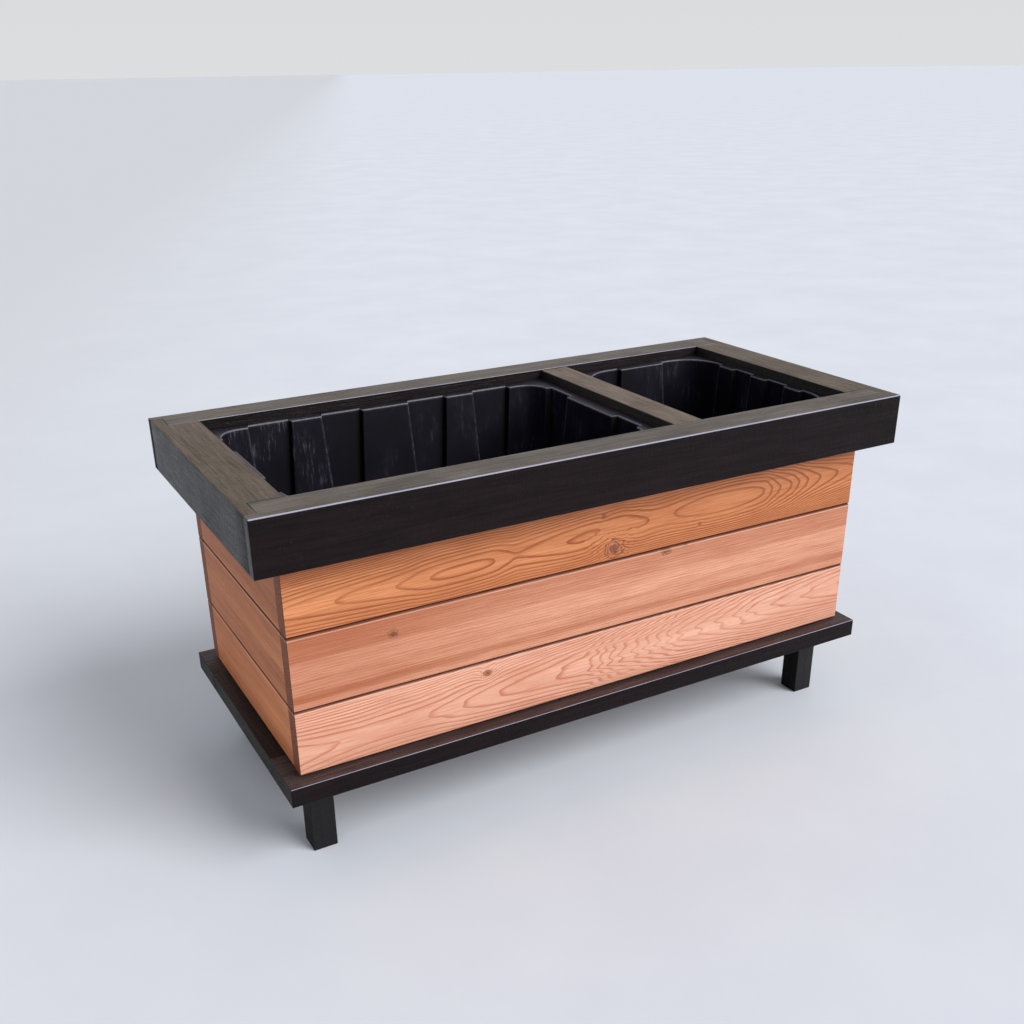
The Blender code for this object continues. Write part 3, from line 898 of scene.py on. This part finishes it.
def add_sun():
    """A soft distant light. Azimuth 0 is in front of the planter and 90 to its right."""
    data = bpy.data.lights.new("key", "SUN")
    data.angle = math.radians(SUN_SPREAD)
    data.energy = SUN_STRENGTH
    data.color = SUN_COLOUR
    light = bpy.data.objects.new("key", data)
    a, e = math.radians(SUN_AZIMUTH), math.radians(SUN_ELEVATION)
    source = Vector((math.sin(a) * math.cos(e), -math.cos(a) * math.cos(e), math.sin(e)))
    light.rotation_euler = (-source).to_track_quat("-Z", "Y").to_euler()
    bpy.context.scene.collection.objects.link(light)


def add_floor():
    bm = bmesh.new()
    bmesh.ops.create_grid(bm, x_segments=1, y_segments=1, size=FLOOR_REACH)
    mesh = bpy.data.meshes.new("floor")
    bm.to_mesh(mesh)
    bm.free()
    graph = Graph("floor")
    place = graph.place()
    clouds = graph.noise(place, (2.3, 2.3, 2.3), 0.0, 5.0, 0.6)
    colour = graph.mix(graph.step(clouds, 0.3, 0.7), FLOOR_LOW, FLOOR_HIGH)
    x, y, z = graph.parts(place)
    across = graph.add(x, graph.times(y, -0.4))
    # Painted shade: the floor turns greyer towards the left, where the planter's shadow falls
    colour = graph.mix(graph.step(across, *FLOOR_SHADE_SPAN), colour, FLOOR_SHADE)
    normal = graph.bump(clouds, 0.0002)
    mesh.materials.append(graph.finish(colour, 0.8, normal, Specular_IOR_Level=0.2))
    floor = bpy.data.objects.new("floor", mesh)
    bpy.context.scene.collection.objects.link(floor)


def add_world():
    world = bpy.data.worlds.new("studio")
    bpy.context.scene.world = world
    world.use_nodes = True
    nodes, links = world.node_tree.nodes, world.node_tree.links
    direction = nodes.new("ShaderNodeTexCoord").outputs["Generated"]
    height = nodes.new("ShaderNodeSeparateXYZ")
    links.new(direction, height.inputs[0])
    ramp = nodes.new("ShaderNodeValToRGB")
    links.new(height.outputs[2], ramp.inputs[0])
    horizon, top = ramp.color_ramp.elements
    horizon.position, horizon.color = 0.0, SKY_HORIZON
    top.position, top.color = SKY_TOP_AT, SKY_TOP
    links.new(ramp.outputs[0], nodes["Background"].inputs["Color"])
    nodes["Background"].inputs["Strength"].default_value = 1.0


# ---------------------------------------------------------------- the front boards' figure
# Growth rings, as cedar takes them
UPPER_RINGS = (0.4606, 0.026, 2850.0, (
    (-0.552, 3.9), (-0.455, 3.0), (-0.365, 2.0), (-0.305, 1.0), (-0.262, 0.86), (-0.219, 1.0),
    (-0.180, 1.8), (-0.165, 2.06), (-0.155, 2.0), (-0.110, 1.5), (-0.062, 1.0), (0.015, 0.6),
    (0.060, 1.4), (0.082, 2.0), (0.110, 2.4), (0.135, 2.3), (0.158, 2.0), (0.250, 1.3),
    (0.335, 2.0), (0.357, 3.0), (0.376, 4.0), (0.403, 5.0), (0.421, 6.0), (0.442, 7.0),
    (0.470, 8.0), (0.552, 10.0),
))
LOWER_RINGS = (0.2225, 0.030, 2100.0, (
    (-0.552, 18.4), (-0.506, 19.0), (-0.430, 19.5), (-0.360, 19.4), (-0.317, 19.0),
    (-0.264, 18.0), (-0.189, 17.0), (-0.086, 16.0), (-0.025, 15.0), (-0.003, 14.0),
    (0.018, 13.0), (0.039, 12.0), (0.068, 11.0), (0.093, 10.0), (0.118, 9.0), (0.143, 8.0),
    (0.167, 7.0), (0.214, 6.0), (0.260, 5.0), (0.303, 4.0), (0.342, 3.0), (0.413, 2.0),
    (0.481, 1.0), (0.552, 0.1),
))
UPPER_KNOTS = (
    (0.0205, 0.4275, 0.0155, 3.6), (-0.001, 0.4885, 0.0035, 0.5), (0.199, 0.4360, 0.0028, 0.4),
)
MIDDLE_KNOTS = (
    (-0.384, 0.3733, 0.0065, 1.5), (0.129, 0.4015, 0.0075, 1.0), (0.171, 0.4050, 0.004, 0.5),
)
LOWER_KNOTS = ((-0.222, 0.2590, 0.0068, 2.6),)
# The upper front board darkens towards its top: painted shadow under the rim's overhang
UPPER_RIM_SHADOW = (JOINTS[1], 0.53, ((0.0, 0.0), (0.4, 0.0), (0.75, 0.20), (0.90, 0.55), (1.0, 1.0)))
MIDDLE_TONES = (JOINTS[0], JOINTS[1], (
    (0.0, 0.45), (0.07, 0.16), (0.13, 0.55), (0.18, 0.68), (0.23, 0.30), (0.33, 0.14),
    (0.38, 0.26), (0.43, 0.05), (0.56, 0.0), (0.63, 0.02), (0.67, 0.50), (0.80, 0.58),
    (0.90, 0.62), (1.0, 0.70),
))


def front_cedar():
    return {
        "front_board_upper": cedar(
            "cedar_front_upper", "X", ORANGE_CEDAR, UPPER_RINGS, UPPER_KNOTS, 1.0,
            kink=0.006, tone_curve=UPPER_RIM_SHADOW, lines=1.0,
        ),
        "front_board_middle": cedar(
            "cedar_front_middle", "X", TAN_CEDAR, None, MIDDLE_KNOTS, 4.0,
            bands=0.9, tone_curve=MIDDLE_TONES, lines=0.20, left=0.36,
        ),
        "front_board_lower": cedar(
            "cedar_front_lower", "X", PINK_CEDAR, LOWER_RINGS, LOWER_KNOTS, 8.0,
            bands=0.6, kink=0.046,
        ),
    }


def other_cedar():
    """The back, left and right boards' materials."""
    made = {}
    courses = (
        ("upper", ORANGE_CEDAR, UPPER_RINGS), ("middle", TAN_CEDAR, None),
        ("lower", PINK_CEDAR, LOWER_RINGS),
    )
    for i, (course, tones, rings) in enumerate(courses):
        name = f"cedar_back_{course}"
        made[f"back_board_{course}"] = cedar(name, "X", tones, rings, (), 20.0 + i, kink=0.02)
        # the side tones darkened course by course, painted shade under the rim
        left = [tuple(c * SIDE_COURSE_SHADE[i] for c in tone) for tone in SIDE_CEDAR]
        share = SUNNY_SIDE_SHARE
        # a greyer copy for the sunlit right side: painted shade against the sun on it
        right = [tuple((1 - share) * c + share * SUNNY_SIDE_GREY for c in t) for t in left]
        for side, side_tones, seed in (("left", left, 30.0), ("right", right, 41.0)):
            made[f"{side}_board_{course}"] = cedar(
                f"cedar_{side}_{course}", "Y", side_tones, seed=seed + 3 * i, bands=0.9, lines=0.35
            )
    return made


def make_materials():
    return {
        **front_cedar(),
        **other_cedar(),
        "stain_x": stain("stain_x", "X", ends=(12, 11, 11), sheen=0.34),
        "stain_y": stain("stain_y", "Y", top=(81, 67, 52), ripple=1.8, seed=3.0),
        "stain_divider": stain("stain_divider", "Y", top=(98, 82, 69), seed=5.0),
        "stand_x": stain(
            "stand_x", "X", top=(64, 51, 51), ends=(24, 18, 12), sheen=0.12, gloss=0.4, seed=7.0
        ),
        # The side rails' tops are darker than the front and back rails': painted shadow of the
        # planter's body over them
        "stand_y": stain(
            "stand_y", "Y", top=(34, 23, 23), ends=(30, 24, 16),
            ripple=1.4, sheen=0.12, gloss=0.3, seed=9.0,
        ),
        "leg": stain("leg_stain", "Z", side=(12, 8, 9), ends=(8, 6, 6), sheen=0.12, seed=11.0),
        "softwood_x": softwood("softwood_x", "X", 13.0),
        "softwood_y": softwood("softwood_y", "Y", 15.0),
        "softwood_z": softwood("softwood_z", "Z", 17.0),
        "plastic": plastic("liner_plastic"),
        "steel": steel("screw_steel"),
    }


MATERIALS = make_materials()
build_rim()
build_boards()
build_stand()
build_plain()
for liner in TUBS:
    build_liner(liner)
add_camera()
add_floor()
add_world()
add_sun()
bpy.context.scene.view_settings.view_transform = "Standard"
